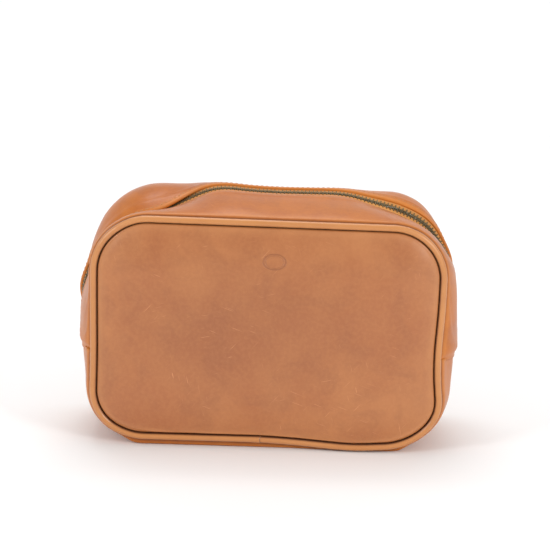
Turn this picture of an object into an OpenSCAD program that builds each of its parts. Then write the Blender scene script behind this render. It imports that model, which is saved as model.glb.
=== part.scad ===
// Soft leather wash bag: two piped panels joined by a gusset, closed by a metal zip
// that runs from low on one side, over the top, to low on the other.
// Frame: millimetres, +Z up, front of the bag towards -Y, origin under the middle of the base.

/* [Body] */
// Width of the seam outline, across the piping
outline_w = 230; // [190:1:280]
// Height of the seam outline, across the piping
outline_h = 150; // [128:1:192]
// Depth between the front and back seam planes
depth = 84; // [60:1:110]
// Outer corner radius of the seam outline
corner_r = 36; // [28:1:44]
// How far the gusset arches out past the outline at mid depth
bulge = 8.5; // [5:0.5:12]
// Clear height of the piping above the base
foot = 3; // [1:0.5:5]
// How far the middle of each panel stands out from its seam
crown = 4; // [2:0.5:7]

/* [Leather] */
// Thickness of the panels and the gusset
leather_t = 1.4; // [1:0.1:1.8]
// Thickness of the leather wrapped round the piping cord
piping_skin = 0.75; // [0.5:0.05:1]
// Diameter of the cord inside the piping
cord_d = 3; // [2:0.1:4]
// Width of the piping's seam allowance
piping_flange = 6; // [4:0.5:8]
// How far the gusset's edge turns in behind the piping
gusset_lip = 3.7; // [2.5:0.1:4.5]

/* [Lining] */
// Thickness of the lining cloth
lining_t = 0.5; // [0.3:0.1:0.8]
// Distance of the lining panels inside the outline
lining_inset = 5; // [5:0.5:8]

/* [Zip] */
// Height of both ends of the zip above the base
zip_end_z = 64; // [56:1:76]
// Gap between the two leather edges, over the chain
zip_gap = 13; // [11.5:0.5:16]
// Width of one tape
tape_w = 15; // [12:0.5:18]
// Thickness of the tape
tape_t = 0.6; // [0.4:0.1:0.7]
// Spacing of the teeth along one row
tooth_pitch = 2.54; // [2.4:0.02:3.2]
// Size of one tooth along the chain
tooth_l = 1.15; // [0.9:0.05:1.15]
// Height of one tooth through the tape
tooth_h = 2.2; // [1.8:0.1:2.4]
// How far a tooth reaches past the middle of the chain
tooth_head = 1.3; // [1:0.1:1.5]
// How far a tooth's legs reach back over the tape
tooth_leg = 3; // [2.6:0.1:3.2]

/* [Slider] */
// Length of the slider along the chain
slider_l = 10; // [9:0.5:12]
// Width of the slider across the chain
slider_w = 8.6; // [8.2:0.1:9]
// Thickness of the slider's plates
slider_plate = 0.8; // [0.6:0.05:1]
// Length of the pull
pull_l = 20; // [16:0.5:24]
// Width of the pull
pull_w = 6; // [5:0.5:8]
// Thickness of the pull
pull_t = 1.1; // [0.8:0.1:1.2]

/* [Stitching] */
// Spacing of the stitches
stitch_pitch = 4; // [3:0.5:6]
// Length of one stitch
stitch_l = 2.8; // [1.8:0.1:2.9]
// Thickness of the thread
thread_d = 0.6; // [0.4:0.1:0.7]
// Distance of the stitching from the leather's edge
stitch_inset = 2.6; // [2:0.1:4]

/* [Hidden] */
$fn = 96;

tan_leather = "#C08058";
piping_leather = "#C98D5C";
tape_cloth = "#D08C4A";
cotton_thread = "#B9793F";
brass = "#8C7B4E";
lining_cloth = "#CDBF9F";
cord_cotton = "#EFE9DC";

fit = 0.05;                  // gap between pieces that lie on each other
slide_gap = 0.25;            // gap between the slider and what it runs over

half_d = depth / 2;
side_x = outline_w / 2 - corner_r;            // corner centres, left and right of the middle
low_z = foot + corner_r;                      // lower corner centres
high_z = foot + outline_h - corner_r;         // upper corner centres
arch_r = (half_d * half_d + bulge * bulge) / (2 * bulge);
arch_x = corner_r + bulge - arch_r;           // centre of the gusset's arch, in a profile

piping_r = cord_d / 2 + piping_skin;
piping_x = corner_r - piping_r;               // middle of the piping, in a profile
gusset_edge = half_d - piping_r - fit;        // where the gusset meets the piping
lining_edge = gusset_edge - leather_t - fit;  // outer face of the lining panels

tape_drop = leather_t + fit + tape_t / 2;     // middle of the tape below the leather's surface
chain_r = corner_r + bulge - tape_drop;       // middle of the chain, in a profile
tape_edge = tooth_head + 0.1;                 // tape's bead, clear of the opposite row's heads
slider_z = zip_end_z + 6;                     // lower end of the slider with the zip closed
throat = slider_l / 2;                        // where the two rows meet inside the slider
stop_l = 1.7;
slot = tape_t / 2 + tooth_leg * tooth_leg / arch_r / 2 + 0.02;   // half of a tooth's slot for the tape
chain_start = slider_z + throat;              // first tooth on the slider's side
chain_end = zip_end_z + 4.5;                  // last tooth on the other side

// ---------------------------------------------------------------- sweeps round the outline
// A profile is drawn with x outward from a corner's centre and y towards the front of the bag.

module stand() {
    rotate([90, 0, 0]) children();
}

module corner_sweep(x, z, turn) {
    translate([x, z, 0]) rotate([0, 0, turn]) rotate_extrude(angle = 90) children();
}

// A straight stretch that starts at a corner's centre and runs against the turn.
module side_sweep(x, z, turn, length) {
    translate([x, z, 0]) rotate([0, 0, turn]) rotate([90, 0, 0]) linear_extrude(length) children();
}

module ring_sweep() {
    stand() {
        corner_sweep(side_x, high_z, 0) children();
        corner_sweep(-side_x, high_z, 90) children();
        corner_sweep(-side_x, low_z, 180) children();
        corner_sweep(side_x, low_z, 270) children();
        side_sweep(side_x, high_z, 0, high_z - low_z) children();
        side_sweep(-side_x, high_z, 90, 2 * side_x) children();
        side_sweep(-side_x, low_z, 180, high_z - low_z) children();
        side_sweep(side_x, low_z, 270, 2 * side_x) children();
    }
}

// From one end of the zip, over the top, to the other end.
module upper_sweep(end_z = zip_end_z) {
    stand() {
        side_sweep(side_x, high_z, 0, high_z - end_z) children();
        corner_sweep(side_x, high_z, 0) children();
        side_sweep(-side_x, high_z, 90, 2 * side_x) children();
        corner_sweep(-side_x, high_z, 90) children();
        side_sweep(-side_x, end_z, 180, high_z - end_z) children();
    }
}

// From one end of the zip, under the bag, to the other end. The base itself is a flat slab.
module lower_sweep(end_z = zip_end_z) {
    stand() {
        side_sweep(side_x, end_z, 0, end_z - low_z) children();
        corner_sweep(side_x, low_z, 270) children();
        corner_sweep(-side_x, low_z, 180) children();
        side_sweep(-side_x, low_z, 180, end_z - low_z) children();
        side_sweep(side_x, low_z, 270, 2 * side_x) children();
    }
}

// ---------------------------------------------------------------- places along the chain
side_run = high_z - chain_start;
corner_run = PI / 2 * chain_r;
top_run = 2 * side_x;
far_run = high_z - chain_end;
chain_run = side_run + 2 * corner_run + top_run + far_run;

function degrees_round(s) = s / chain_r * 180 / PI;

function chain_turn(s) =
    s < side_run ? 0 :
    s < side_run + corner_run ? degrees_round(s - side_run) :
    s < side_run + corner_run + top_run ? 90 :
    s < chain_run - far_run ? 90 + degrees_round(s - side_run - corner_run - top_run) : 180;

function chain_centre(s) =
    s < side_run ? [side_x, chain_start + s] :
    s < side_run + corner_run ? [side_x, high_z] :
    s < side_run + corner_run + top_run ? [side_x - (s - side_run - corner_run), high_z] :
    s < chain_run - far_run ? [-side_x, high_z] :
    [-side_x, high_z - (s - (chain_run - far_run))];

// A slice of a profile, of the given length along the chain, at distance s from its start.
module on_chain(s, length) {
    stand()
        translate([chain_centre(s)[0], chain_centre(s)[1], 0])
            rotate([0, 0, chain_turn(s)]) rotate([90, 0, 0])
                linear_extrude(length, center = true) children();
}

// ---------------------------------------------------------------- profiles
// A layer of the arched gusset: drop below the outer surface, thickness, and the stretch it covers.
module arch_layer(drop, t, from, to) {
    intersection() {
        difference() {
            translate([arch_x, 0]) circle(arch_r - drop);
            translate([arch_x, 0]) circle(arch_r - drop - t);
        }
        translate([0, from]) square([corner_r + 2 * bulge, to - from]);
    }
}

function arch_at(y, drop) = arch_x + sqrt((arch_r - drop) * (arch_r - drop) - y * y);

// The gusset's edge, turned in behind the piping.
module lip() {
    outer = arch_at(gusset_edge, leather_t / 2);
    translate([corner_r - gusset_lip, gusset_edge - leather_t])
        square([outer - corner_r + gusset_lip, leather_t]);
}

module half_gusset_profile() {
    arch_layer(0, leather_t, zip_gap / 2, gusset_edge);
    lip();
}

module bottom_gusset_profile() {
    arch_layer(0, leather_t, -gusset_edge, gusset_edge);
    lip();
    mirror([0, 1]) lip();
}

module half_lining_profile() {
    arch_layer(leather_t + tape_t + 2 * fit, lining_t, zip_gap / 2 - 1.2, lining_edge - fit);
}

module bottom_lining_profile() {
    edge = lining_edge - fit;
    arch_layer(leather_t + tape_t + 2 * fit, lining_t, -edge, edge);
}

module tape_profile() {
    arch_layer(leather_t + fit, tape_t, tape_edge, tape_edge + tape_w);
}

// A tooth or a stop: a block whose two legs clamp the tape between them.
module crimp_profile(from, to) {
    translate([chain_r, 0]) difference() {
        translate([-tooth_h / 2, from]) square([tooth_h, to - from]);
        translate([-slot, tape_edge - fit]) square([2 * slot, to]);
    }
}

module piping_skin_profile() {
    flange_t = 1.1;
    flange_out = piping_x - (cord_d / 2 + piping_skin / 2);
    difference() {
        union() {
            translate([piping_x, half_d]) circle(piping_r);
            translate([flange_out - piping_flange, half_d - leather_t / 2 - fit - flange_t])
                square([piping_flange, flange_t]);
        }
        translate([piping_x, half_d]) circle(cord_d / 2);
    }
}

module cord_profile() {
    translate([piping_x, half_d]) circle(cord_d / 2 - fit);
}

// A stitch seen end on, lying on the leather at depth y.
module stitch_profile(y) {
    translate([arch_at(y, 0) + 0.03, y - thread_d / 2]) square([thread_d / 2, thread_d]);
}

// ---------------------------------------------------------------- panels
module rounded(inset) {
    r = corner_r - inset;
    translate([0, foot + outline_h / 2]) {
        square([outline_w - 2 * inset, 2 * (high_z - low_z) / 2], center = true);
        square([2 * side_x, outline_h - 2 * inset], center = true);
    }
    for (x = [-side_x, side_x], z = [low_z, high_z])
        translate([x, z]) circle(r);
}

// A flat slab in the outline's shape, standing up, from depth y towards the front.
module slab(inset, y, t) {
    translate([0, -y, 0]) stand() linear_extrude(t) rounded(inset);
}

// One leather face: crowned, with its rim in the groove beside the piping.
module face() {
    rim = 2 * piping_r + fit;
    shoulder = 26;
    rear = half_d - leather_t / 2;
    difference() {
        hull() {
            slab(rim, rear, leather_t, $fn = 32);
            slab(shoulder, rear, leather_t + crown, $fn = 32);
        }
        hull() {
            slab(rim + leather_t, rear - 1, 1, $fn = 32);
            slab(shoulder + leather_t / 2, rear - 1, 1 + crown, $fn = 32);
        }
    }
}

module lining_face() {
    slab(lining_inset, lining_edge - lining_t, lining_t);
}

module to_back() {
    mirror([0, 1, 0]) children();
}

module front_panel() {
    color(tan_leather) face();
}

module back_panel() {
    color(tan_leather) to_back() face();
}

module front_piping() {
    color(piping_leather) ring_sweep() piping_skin_profile();
}

module back_piping() {
    color(piping_leather) to_back() ring_sweep() piping_skin_profile();
}

module front_piping_cord() {
    color(cord_cotton) ring_sweep() cord_profile();
}

module back_piping_cord() {
    color(cord_cotton) to_back() ring_sweep() cord_profile();
}

// ---------------------------------------------------------------- gusset
module front_zip_gusset() {
    color(tan_leather) upper_sweep() half_gusset_profile();
}

module rear_zip_gusset() {
    color(tan_leather) to_back() upper_sweep() half_gusset_profile();
}

// A flat floor cut from inside the arch: height, thickness, and how far below the surface it stops.
module arch_floor(z, t, drop, edge) {
    size = 2 * outline_w;
    intersection() {
        lower_sweep() intersection() {
            translate([arch_x, 0]) circle(arch_r - drop);
            translate([0, -edge]) square([corner_r + 2 * bulge, 2 * edge]);
        }
        translate([-size / 2, -size / 2, z]) cube([size, size, t]);
    }
}

module below(z) {
    size = 2 * outline_w;
    translate([-size / 2, -size / 2, z - size]) cube([size, size, size]);
}

// The arch is pressed flat where the bag stands on it.
module bottom_gusset() {
    color(tan_leather) difference() {
        union() {
            lower_sweep(zip_end_z - fit) bottom_gusset_profile();
            arch_floor(0, leather_t, leather_t / 2, gusset_edge);
        }
        below(0);
    }
}

module front_lining() {
    color(lining_cloth) lining_face();
}

module back_lining() {
    color(lining_cloth) to_back() lining_face();
}

module front_top_lining() {
    color(lining_cloth) upper_sweep() half_lining_profile();
}

module rear_top_lining() {
    color(lining_cloth) to_back() upper_sweep() half_lining_profile();
}

module bottom_lining() {
    floor_z = leather_t + fit;
    drop = leather_t + tape_t + 2 * fit + lining_t / 2;
    color(lining_cloth) difference() {
        union() {
            lower_sweep(zip_end_z - fit) bottom_lining_profile();
            arch_floor(floor_z, lining_t, drop, lining_edge - fit);
        }
        below(floor_z);
    }
}

// ---------------------------------------------------------------- zip
// The tape's bead is cut back where the slider's post parts the two rows.
module tape() {
    parted = 1.9;
    difference() {
        upper_sweep() tape_profile();
        translate([side_x, -parted, zip_end_z - 1])
            cube([corner_r + bulge, parted, chain_start - zip_end_z + 1]);
    }
}

module front_zip_tape() {
    color(tape_cloth) tape();
}

module rear_zip_tape() {
    color(tape_cloth) to_back() tape();
}

module front_zip_teeth() {
    color(brass)
        for (s = [tooth_pitch / 4 : tooth_pitch : chain_run - tooth_l])
            on_chain(s, tooth_l) crimp_profile(-tooth_head, tooth_leg);
}

module rear_zip_teeth() {
    color(brass)
        for (s = [tooth_pitch * 3 / 4 : tooth_pitch : chain_run - tooth_l])
            on_chain(s, tooth_l) mirror([0, 1]) crimp_profile(-tooth_head, tooth_leg);
}

module top_stop() {
    stand() side_sweep(side_x, slider_z - slide_gap, 0, stop_l) crimp_profile(0.2, tooth_leg);
}

module front_top_stop() {
    color(brass) top_stop();
}

module rear_top_stop() {
    color(brass) to_back() top_stop();
}

// One staple across both tapes where the chain ends for good.
module bottom_stop() {
    color(brass) stand() side_sweep(-side_x, zip_end_z + 1.5, 180, chain_end - zip_end_z - 2)
        translate([chain_r, 0]) difference() {
            square([tooth_h, 2 * tooth_leg], center = true);
            for (m = [0, 1]) mirror([0, m])
                translate([-slot, tape_edge - fit]) square([2 * slot, tooth_leg]);
        }
}

slider_out = tooth_h / 2 + slide_gap;            // inner face of a slider plate, from the chain
slider_x = side_x + chain_r;                     // middle of the chain on the slider's side
bridge_w = 1.6;
bridge_h = 2.4;
pin_r = 0.6;
pin_x = slider_x + slider_out + slider_plate + slide_gap + pin_r;
pin_z = slider_z + slider_l * 0.45;

// One plate of the slider, narrow at the tail, with a flange down each side.
module slider_wing() {
    tail = slider_w * 0.82;
    outline = [
        [-slider_w / 2 + 1.4, 0], [slider_w / 2 - 1.4, 0], [slider_w / 2, 1.6],
        [slider_w / 2, throat], [tail / 2, slider_l], [-tail / 2, slider_l],
        [-slider_w / 2, throat], [-slider_w / 2, 1.6],
    ];
    flange = 0.85;
    flange_h = slider_out - tape_t / 2 - slide_gap;
    translate([0, 0, slider_out]) linear_extrude(slider_plate) polygon(outline);
    translate([0, 0, slider_out - flange_h]) linear_extrude(flange_h + slider_plate / 2)
        intersection() {
            polygon(outline);
            for (m = [0, 1]) mirror([m, 0])
                translate([slider_w / 2 - flange, 1.2]) square([flange, slider_l - 1.2]);
        }
}

// The slider stands on its nose: x across the chain, y along it, z out of the bag.
module slider_shape() {
    post_w = 2.6;
    post_l = throat - 0.6;
    slider_wing();
    mirror([0, 0, 1]) slider_wing();
    translate([0, 0, -slider_out - slider_plate / 2])
        linear_extrude(2 * slider_out + slider_plate)
            polygon([[-post_w / 2, 0.3], [post_w / 2, 0.3], [0, post_l]]);
    translate([0, 0, slider_out + slider_plate / 2]) difference() {
        translate([-bridge_w / 2, slider_l * 0.2, 0])
            cube([bridge_w, slider_l * 0.65, bridge_h + slider_plate / 2]);
        translate([-bridge_w, slider_l * 0.32, slider_plate / 2])
            cube([2 * bridge_w, slider_l * 0.41, bridge_h - 0.7]);
    }
}

module slider_body() {
    color(brass) translate([slider_x, 0, slider_z])
        multmatrix([[0, 0, 1, 0], [1, 0, 0, 0], [0, 1, 0, 0]]) slider_shape();
}

// A flat tag hanging from a pin that passes under the bridge.
module slider_pull() {
    window_w = bridge_w + 0.9;
    window_l = 4.9;
    color(brass) translate([pin_x, 0, pin_z]) {
        rotate([90, 0, 0]) cylinder(r = pin_r, h = window_w + 1, center = true);
        difference() {
            translate([-pull_t / 2, -pull_w / 2, -pull_l])
                cube([pull_t, pull_w, pull_l - pin_r / 2]);
            translate([-pull_t, -window_w / 2, -window_l]) cube([2 * pull_t, window_w, window_l + 1]);
            translate([0, 0, -pull_l + 3.5]) rotate([0, 90, 0])
                cylinder(r = 1.2, h = 2 * pull_t, center = true);
        }
    }
}

// ---------------------------------------------------------------- stitching
module zip_stitching() {
    y = zip_gap / 2 + stitch_inset;
    color(cotton_thread)
        for (s = [stitch_pitch / 2 : stitch_pitch : chain_run - stitch_l])
            on_chain(s, stitch_l) stitch_profile(y);
}

module front_zip_stitching() {
    zip_stitching();
}

module rear_zip_stitching() {
    to_back() zip_stitching();
}

// A row across each end of the bottom gusset, where it is sewn over the ends of the zip.
module gusset_end_stitching() {
    z = zip_end_z - stitch_inset;
    last = gusset_edge - stitch_pitch;
    clear = thread_d / 4 + 0.03;
    color(cotton_thread)
        for (side = [0, 1], y = [-last : stitch_pitch : last])
            mirror([side, 0, 0])
                translate([side_x + arch_at(max(abs(y) - stitch_l / 2, 0), 0) + clear, y, z])
                    cube([thread_d / 2, stitch_l, thread_d], center = true);
}

// A closed row through the piping's seam allowance.
module seam_stitching() {
    inset = piping_r + cord_d / 2 + piping_flange / 2 + 1;
    x = corner_r - inset;
    y = half_d - leather_t / 2 - fit - 1.1 - thread_d / 2 - 0.02;
    straight_z = high_z - low_z;
    straight_x = 2 * side_x;
    color(cotton_thread) stand() {
        for (s = [0, 1], k = [stitch_pitch / 2 : stitch_pitch : straight_x - stitch_l / 2])
            translate([-side_x + k, s == 0 ? low_z - x : high_z + x, y])
                cube([stitch_l, thread_d, thread_d / 2], center = true);
        for (s = [-1, 1], k = [stitch_pitch / 2 : stitch_pitch : straight_z - stitch_l / 2])
            translate([s * (side_x + x), low_z + k, y])
                cube([thread_d, stitch_l, thread_d / 2], center = true);
        for (q = [0 : 3], a = [8 : stitch_pitch / x * 180 / PI : 84])
            translate([q == 0 || q == 3 ? side_x : -side_x, q < 2 ? high_z : low_z, y])
                rotate([0, 0, 90 * q + a]) translate([x, 0, 0])
                    cube([thread_d, stitch_l, thread_d / 2], center = true);
    }
}

module front_seam_stitching() {
    seam_stitching();
}

module back_seam_stitching() {
    to_back() seam_stitching();
}

front_panel();
back_panel();
front_piping();
back_piping();
front_piping_cord();
back_piping_cord();
front_zip_gusset();
rear_zip_gusset();
bottom_gusset();
front_zip_tape();
rear_zip_tape();
front_zip_teeth();
rear_zip_teeth();
front_top_stop();
rear_top_stop();
bottom_stop();
slider_body();
slider_pull();
front_lining();
back_lining();
front_top_lining();
rear_top_lining();
bottom_lining();
front_zip_stitching();
rear_zip_stitching();
gusset_end_stitching();
front_seam_stitching();
back_seam_stitching();
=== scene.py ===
"""Looks for a soft leather wash bag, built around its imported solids."""

import math

import bmesh
import bpy
import numpy as np
from bpy.props import FloatProperty, FloatVectorProperty, IntProperty, PointerProperty
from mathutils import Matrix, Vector, noise


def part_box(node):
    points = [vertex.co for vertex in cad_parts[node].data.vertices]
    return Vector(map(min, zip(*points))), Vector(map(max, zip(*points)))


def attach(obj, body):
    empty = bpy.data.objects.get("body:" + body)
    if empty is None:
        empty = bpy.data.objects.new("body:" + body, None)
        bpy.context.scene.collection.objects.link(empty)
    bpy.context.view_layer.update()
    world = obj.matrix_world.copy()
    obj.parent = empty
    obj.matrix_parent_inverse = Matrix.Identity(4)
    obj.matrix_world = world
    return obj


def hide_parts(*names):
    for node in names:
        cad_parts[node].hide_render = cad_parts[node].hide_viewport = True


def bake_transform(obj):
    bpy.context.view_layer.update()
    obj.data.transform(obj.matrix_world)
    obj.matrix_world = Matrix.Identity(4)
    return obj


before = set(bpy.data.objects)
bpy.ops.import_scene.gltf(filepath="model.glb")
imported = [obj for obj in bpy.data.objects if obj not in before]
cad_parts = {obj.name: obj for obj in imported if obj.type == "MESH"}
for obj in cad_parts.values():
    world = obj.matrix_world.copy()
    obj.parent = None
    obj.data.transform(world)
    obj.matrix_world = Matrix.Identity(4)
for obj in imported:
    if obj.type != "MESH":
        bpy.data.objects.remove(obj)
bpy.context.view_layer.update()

bl_info = {
    "name": "Leather wash bag",
    "version": (1, 0, 0),
    "blender": (4, 5, 0),
    "location": "3D View > Sidebar > Wash bag",
    "description": "Builds a piped leather wash bag with a metal zip around its solids",
    "category": "Object",
}

MM = 0.001
REAR, FRONT = "rear_shell", "front_shell"
PIPING_LOW, PIPING_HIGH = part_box("front_piping")
GUSSET_LOW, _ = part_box("front_zip_gusset")
SLIDER_LOW, SLIDER_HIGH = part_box("slider_body")

# Clearances and small sizes, in millimetres.
PANEL_EDGE = 4.62  # inset of the panels' edge from the outline, beside the piping
SEAM_GAP = 0.35  # the gusset starts this far behind the piping
TAPE_SINK = 0.35  # the leather edges at the zip stand this far above the tape
SHOULDER = 1.5  # step of the gusset up from the seam
LIP_OUT = (-3.0, -1.6, -0.5)  # the turned-in lip of the gusset, hidden in the seam
EDGE_FOLD = 0.9  # extra thickness where the gusset's edge is turned under at the zip
STITCH_INSET = 2.6  # from an edge to its row of stitches
STITCH_SHARE = 0.72  # length of a stitch as a share of the pitch
FRONT_TOOTH, REAR_TOOTH = 0.25, 0.75  # places of the two rows of teeth in one pitch

# Positions run round the seam outline, in millimetres from the middle of the base, up the right
# side, over the top and down the left. The second number of each pair is in millimetres too.
# Standout of the leather beside the zip: the zip cuts the corners, deepest at the top left.
ZIP_LINE = (
    (160, 8.3), (214, 8.3), (220, 6.0), (226, 3.0), (232, 2.0), (239, 1.8), (246, 1.7), (253, 1.3),
    (264, 2.0), (274, 5.8), (284, 7.9), (291, 10.2), (297, 11.6), (307, 12.4), (324, 12.1),
    (344, 11.7), (363, 12.2), (380, 13.6), (390, 11.9), (400, 7.2), (409, 3.0), (421, -3.0),
    (432, -6.2), (456, -6.0), (468, -4.0), (478, 0.8), (485, 3.0), (492, 5.6), (497, 7.8),
    (503, 9.8), (509, 10.4), (517, 9.8), (528, 8.5), (545, 8.3),
)
# The zip leans towards the front by this many degrees, and is pulled forward by these millimetres.
ZIP_TILT = (
    (160, 0), (214, 0), (227, 24), (239, 46), (253, 52), (264, 48), (274, 38), (284, 27), (297, 16),
    (320, 14), (344, 14), (380, 14), (390, 18), (400, 24), (410, 25), (430, 20), (456, 12),
    (474, 20), (500, 24), (520, 0), (545, 0),
)
ZIP_SHIFT = (
    (160, 0), (395, 0), (412, -4), (430, -7), (456, -7), (480, -9), (500, -8), (520, 0), (545, 0),
)
# Fullness of the gusset halves. At the top left the rear half laps over the zip.
FRONT_FULLNESS = (
    (150, 6.6), (165, 7.0), (184, 6.2), (200, 4.6), (214, 3.2), (232, 2.4), (264, 2.0), (285, 2.0),
    (360, 2.4), (395, 2.4), (430, 2.6), (466, 2.0), (478, 0.6), (502, 0.6), (516, 3.4), (545, 4.6),
)
REAR_FULLNESS = (
    (150, 4.6), (200, 4.2), (213, 1.8), (228, 0.4), (237, 1.8), (245, 3.9), (253, 5.7), (260, 6.8),
    (266, 6.8), (274, 5.6), (297, 4.0), (315, 2.4), (340, 1.4), (365, 1.6), (380, 2.8), (392, 5.0),
    (404, 6.9), (424, 10.4), (434, 10.4), (441, 9.2), (453, 7.3), (467, 5.6), (476, 3.4),
    (485, 2.0), (492, 2.0), (501, 2.4), (515, 4.0), (545, 4.6),
)
# How far the rear half laps over the zip, and how high it lifts to do so.
REAR_LAP = (
    (160, 0), (396, 0), (408, 4.0), (420, 7.5), (440, 8.5), (465, 6.5), (484, 2.0), (494, 0),
    (545, 0),
)
REAR_LIFT = (
    (160, 0), (390, 0), (404, 1.6), (420, 2.3), (465, 2.2), (484, 0.8), (494, 0), (545, 0),
)
# Standout of the strip under the bag and up both sides, halfway between the seams.
BASE_ARCH = (
    (-160, 7.3), (-152, 7.1), (-140, 4.7), (-118, 4.3), (-95, 6.0), (0, 7.3), (95, 6.6), (118, 5.4),
    (140, 5.6), (152, 7.1), (160, 7.3),
)
SHEETS = {}


# ------------------------------------------------------------------ settings
class WashBagSizes(bpy.types.PropertyGroup):
    width: FloatProperty(name="Width", description="Width of the front seam, across the piping",
                         default=PIPING_HIGH.x - PIPING_LOW.x, unit="LENGTH")
    height: FloatProperty(name="Height", description="Height of the front seam, across the piping",
                          default=PIPING_HIGH.z - PIPING_LOW.z, unit="LENGTH")
    foot: FloatProperty(name="Foot", description="Gap under the piping",
                        default=PIPING_LOW.z, unit="LENGTH")
    seam: FloatProperty(name="Seam depth", description="Distance of each seam from the zip",
                        default=-(PIPING_LOW.y + PIPING_HIGH.y) / 2, unit="LENGTH")
    piping: FloatProperty(name="Piping radius", description="Radius of the piping",
                          default=(PIPING_HIGH.y - PIPING_LOW.y) / 2, unit="LENGTH")
    corner: FloatProperty(name="Corner radius", description="Radius of the seam's corners",
                          default=36 * MM, unit="LENGTH")
    leather: FloatProperty(name="Leather", description="Thickness of the leather",
                           default=1.4 * MM, unit="LENGTH")
    crown: FloatProperty(name="Panel fullness", description="How far each panel swells in the middle",
                         default=1.2 * MM, unit="LENGTH")
    zip_half: FloatProperty(name="Zip opening", description="Half the gap between the leather edges",
                            default=5.4 * MM, unit="LENGTH")
    zip_end: FloatProperty(name="Zip end", description="Height of both ends of the zip",
                           default=GUSSET_LOW.z, unit="LENGTH")
    tape: FloatProperty(name="Tape", description="Thickness of the zip tape",
                        default=0.6 * MM, unit="LENGTH")
    tooth_pitch: FloatProperty(name="Tooth pitch", description="Spacing of the teeth in one row",
                               default=2.54 * MM, unit="LENGTH")
    stitch_pitch: FloatProperty(name="Stitch pitch", description="Spacing of the stitches",
                                default=3.4 * MM, unit="LENGTH")
    thread: FloatProperty(name="Thread", description="Thickness of the thread",
                          default=0.60 * MM, unit="LENGTH")


def colour(name, description, rgb):
    return FloatVectorProperty(name=name, description=description, default=rgb, size=3,
                               min=0.0, max=1.0, subtype="COLOR")


class WashBagColours(bpy.types.PropertyGroup):
    leather: colour("Leather", "Main colour of the leather", (0.39, 0.124, 0.035))
    # Real pulled and rubbed leather, and also the painted highlight along ridges, rolled edges and the
    # piping's outer side.
    leather_pale: colour("Pale leather", "Leather where it is pulled or rubbed", (0.60, 0.25, 0.080))
    # Real oil mottling, and also the painted shade towards the middle of each panel.
    leather_dark: colour("Dark leather", "Leather where it has taken up oil", (0.26, 0.077, 0.025))
    piping: colour("Piping", "Leather wrapped round the cord", (0.54, 0.21, 0.052))
    # Painted shade: this dark brown is laid into the bottoms of the seams and on the piping's hidden sides.
    edge: colour("Leather edge", "Burnished edges and the bottom of the seams", (0.085, 0.028, 0.014))
    tape: colour("Zip tape", "Woven tape of the zip", (0.78, 0.36, 0.10))
    thread: colour("Thread", "Stitching thread", (0.62, 0.29, 0.11))
    brass: colour("Antique brass", "Teeth, stops, slider and pull", (0.19, 0.145, 0.08))
    lining: colour("Lining", "Lining cloth", (0.55, 0.48, 0.36))


def sizes():
    return bpy.context.scene.wash_bag_sizes


def colours():
    return bpy.context.scene.wash_bag_colours


# ------------------------------------------------------------------ the bag's form, in millimetres
def smooth(t):
    t = np.clip(t, 0.0, 1.0)
    return t * t * (3 - 2 * t)


def along(pairs, s, soften=5.0):
    """A value that changes smoothly round the outline, from pairs of position and value."""
    fine = np.arange(pairs[0][0] - 60, pairs[-1][0] + 61, 1.0)
    value = np.interp(fine, *zip(*pairs))
    kernel = np.exp(-0.5 * (np.arange(-30, 31) / soften) ** 2)
    padded = np.pad(value, 30, mode="edge")
    return np.interp(s, fine, np.convolve(padded, kernel / kernel.sum(), mode="valid"))


def ripple(points, size, seed):
    """Smooth seeded noise from -1 to 1 at each point, with features of the given size in mm."""
    flat = np.asarray(points, float).reshape(-1, 3)
    shift = Vector((seed * 7.3, seed * 3.1, seed * 5.7))
    value = [noise.noise(Vector(p) / size + shift) for p in flat]
    return np.array(value).reshape(np.asarray(points).shape[:-1])


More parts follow.
